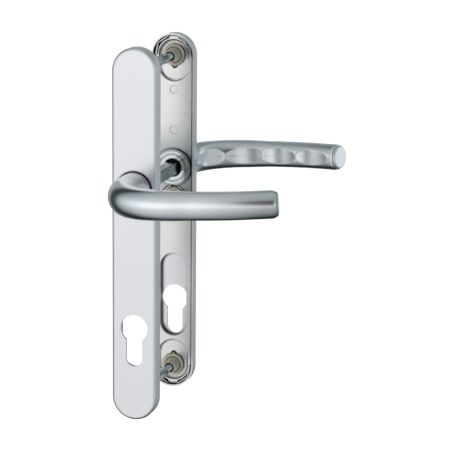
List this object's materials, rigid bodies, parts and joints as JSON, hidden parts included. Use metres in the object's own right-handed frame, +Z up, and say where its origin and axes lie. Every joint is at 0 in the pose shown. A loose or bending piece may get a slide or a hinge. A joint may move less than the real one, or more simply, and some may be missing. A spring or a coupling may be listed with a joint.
{
  "type": "lever handle set on long backplates",
  "caption": "Pair of lever handles on long, narrow backplates with a euro profile cut-out, joined through the door by a square spindle and fixing screws.",
  "frame": {"origin": "on the spindle's axis, half way through the door", "axes": "+Y along the spindle from the outside plate to the inside plate, +X the way the levers point, +Z up"},
  "size_m": [0.1234, 0.2154, 0.245],
  "materials": {
    "satin_aluminium": "silver anodised, fine satin brush",
    "bright_base": "bright die-cast, lightly scuffed",
    "polished_ring": "polished",
    "bright_cap": "bright turned face",
    "zinc_steel": "bluish zinc plate",
    "spring_steel": "oiled spring steel",
    "bearing_plastic": "black acetal",
    "bush_plastic": "taupe moulded nylon"
  },
  "bodies": {
    "plates": {"outside_cover_plate": "satin_aluminium", "outside_base_plate": "bright_base", "outside_guide_ring": "polished_ring", "outside_return_spring": "spring_steel", "outside_lever_bearing": "bearing_plastic", "outside_top_bush": "bush_plastic", "outside_middle_bush": "bush_plastic", "outside_bottom_bush": "bush_plastic", "inside_cover_plate": "satin_aluminium", "inside_base_plate": "bright_base", "inside_guide_ring": "polished_ring", "inside_return_spring": "spring_steel", "inside_lever_bearing": "bearing_plastic", "inside_top_bush": "bush_plastic", "inside_middle_bush": "bush_plastic", "inside_bottom_bush": "bush_plastic", "top_fixing_screw": "zinc_steel", "middle_fixing_screw": "zinc_steel", "bottom_fixing_screw": "zinc_steel", "top_threaded_sleeve": "zinc_steel", "middle_threaded_sleeve": "zinc_steel", "bottom_threaded_sleeve": "zinc_steel"},
    "inside_handle": {"inside_lever": "satin_aluminium", "inside_end_cap": "bright_cap", "inside_retaining_ring": "spring_steel", "inside_driver_disc": "zinc_steel", "inside_grub_screw": "zinc_steel", "spindle": "zinc_steel"},
    "outside_handle": {"outside_lever": "satin_aluminium", "outside_end_cap": "bright_cap", "outside_retaining_ring": "spring_steel", "outside_driver_disc": "zinc_steel", "outside_grub_screw": "zinc_steel"}
  },
  "joints": [
    {"name": "inside_lever_turn", "type": "hinge", "parent": "plates", "child": "inside_handle", "pos_m": [0, 0, 0], "axis": [0, 1, 0], "range_deg": [-45, 45], "stiffness_Nm_per_rad": 2, "deforming": ["inside_return_spring"]},
    {"name": "outside_lever_turn", "type": "hinge", "parent": "plates", "child": "outside_handle", "pos_m": [0, 0, 0], "axis": [0, 1, 0], "range_deg": [-45, 45], "stiffness_Nm_per_rad": 2, "deforming": ["outside_return_spring"]}
  ],
  "couplings": [
    {"joint": "outside_lever_turn", "follows": "inside_lever_turn", "ratio": 1}
  ]
}
